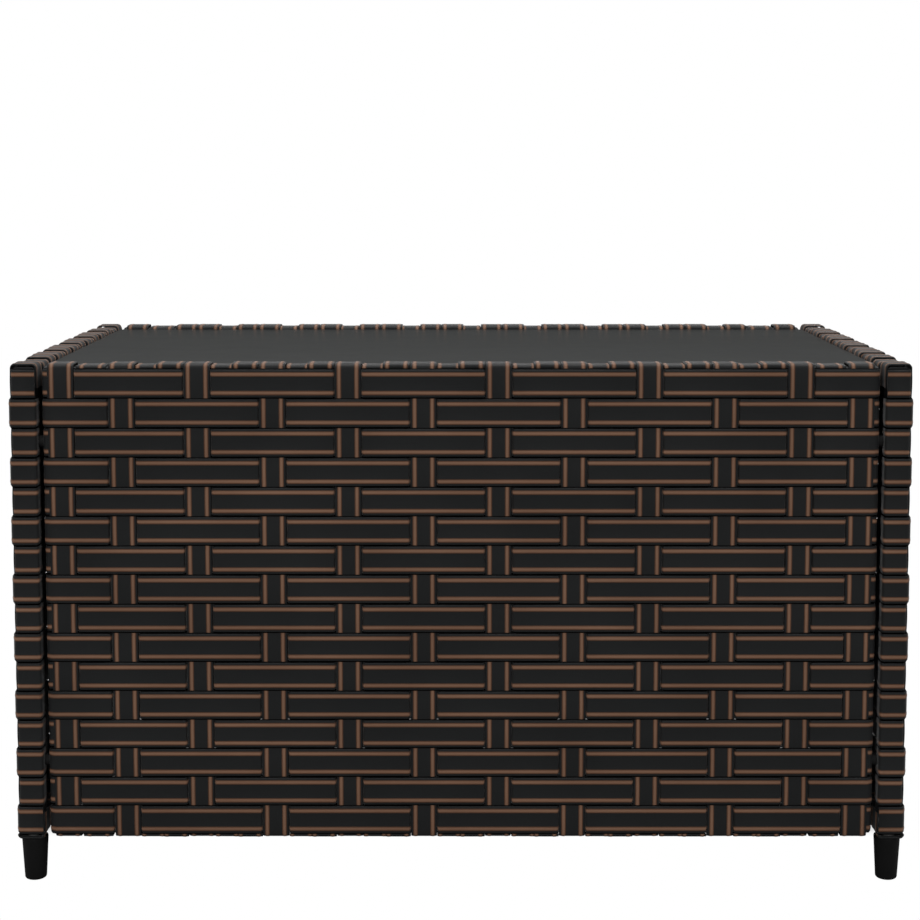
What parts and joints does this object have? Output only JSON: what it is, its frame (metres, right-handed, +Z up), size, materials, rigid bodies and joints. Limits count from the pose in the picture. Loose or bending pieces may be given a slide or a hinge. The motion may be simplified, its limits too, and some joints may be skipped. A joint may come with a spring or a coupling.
{
  "type": "coffee table",
  "caption": "Low rectangular garden coffee table with woven strip walls over a bolted steel tube frame, a recessed dark glass top and tapered screw feet.",
  "frame": {"origin": "centre of the footprint, on the floor under the feet", "axes": "+X along the long side to the right as seen from the front, +Y along the short side towards the back, +Z up; the front faces -Y"},
  "size_m": [0.6, 0.31, 0.3519],
  "materials": {
    "steel_tube": "black powder coat, satin with a fine orange peel",
    "wicker_strip": "extruded flat polyethylene strip, charcoal with two raised brown lines, soft satin",
    "black_glass": "tempered glass with a black painted underside, polished",
    "foot_plastic": "moulded black nylon, matt",
    "black_plastic": "moulded black polyethylene, matt",
    "zinc_steel": "bright zinc plating",
    "pad_rubber": "smoky soft silicone"
  },
  "bodies": {
    "frame": {"left_front_post": "steel_tube", "left_back_post": "steel_tube", "left_top_rail": "steel_tube", "left_bottom_rail": "steel_tube", "right_front_post": "steel_tube", "right_back_post": "steel_tube", "right_top_rail": "steel_tube", "right_bottom_rail": "steel_tube", "front_top_rail": "steel_tube", "front_bottom_rail": "steel_tube", "front_left_upright": "steel_tube", "front_right_upright": "steel_tube", "back_top_rail": "steel_tube", "back_bottom_rail": "steel_tube", "back_left_upright": "steel_tube", "back_right_upright": "steel_tube", "front_stakes": "wicker_strip", "back_stakes": "wicker_strip", "left_stakes": "wicker_strip", "right_stakes": "wicker_strip", "front_weavers": "wicker_strip", "back_weavers": "wicker_strip", "left_weavers": "wicker_strip", "right_weavers": "wicker_strip", "front_rim_binding": "wicker_strip", "back_rim_binding": "wicker_strip", "left_rim_binding": "wicker_strip", "right_rim_binding": "wicker_strip", "front_base_binding": "wicker_strip", "back_base_binding": "wicker_strip", "left_base_binding": "wicker_strip", "right_base_binding": "wicker_strip", "left_glass_bar": "steel_tube", "right_glass_bar": "steel_tube", "bar_brackets": "steel_tube", "bar_screws": "zinc_steel", "glass_pads": "pad_rubber", "side_rail_plugs": "black_plastic", "long_rail_plugs": "black_plastic", "panel_bolts": "zinc_steel", "bolt_washers": "zinc_steel", "panel_spacers": "black_plastic", "rivet_nuts": "zinc_steel", "foot_nuts": "zinc_steel"},
    "glass": {"glass_top": "black_glass"},
    "front_left_foot": {"front_left_foot": "foot_plastic", "front_left_stud": "zinc_steel"},
    "front_right_foot": {"front_right_foot": "foot_plastic", "front_right_stud": "zinc_steel"},
    "back_left_foot": {"back_left_foot": "foot_plastic", "back_left_stud": "zinc_steel"},
    "back_right_foot": {"back_right_foot": "foot_plastic", "back_right_stud": "zinc_steel"}
  },
  "joints": [
    {"name": "glass_lift", "type": "slide", "parent": "frame", "child": "glass", "axis": [0, 0, 1], "range_m": [0, 0.12]},
    {"name": "front_left_foot_level", "type": "slide", "parent": "frame", "child": "front_left_foot", "axis": [0, 0, -1], "range_m": [0, 0.01]},
    {"name": "front_right_foot_level", "type": "slide", "parent": "frame", "child": "front_right_foot", "axis": [0, 0, -1], "range_m": [0, 0.01]},
    {"name": "back_left_foot_level", "type": "slide", "parent": "frame", "child": "back_left_foot", "axis": [0, 0, -1], "range_m": [0, 0.01]},
    {"name": "back_right_foot_level", "type": "slide", "parent": "frame", "child": "back_right_foot", "axis": [0, 0, -1], "range_m": [0, 0.01]}
  ]
}
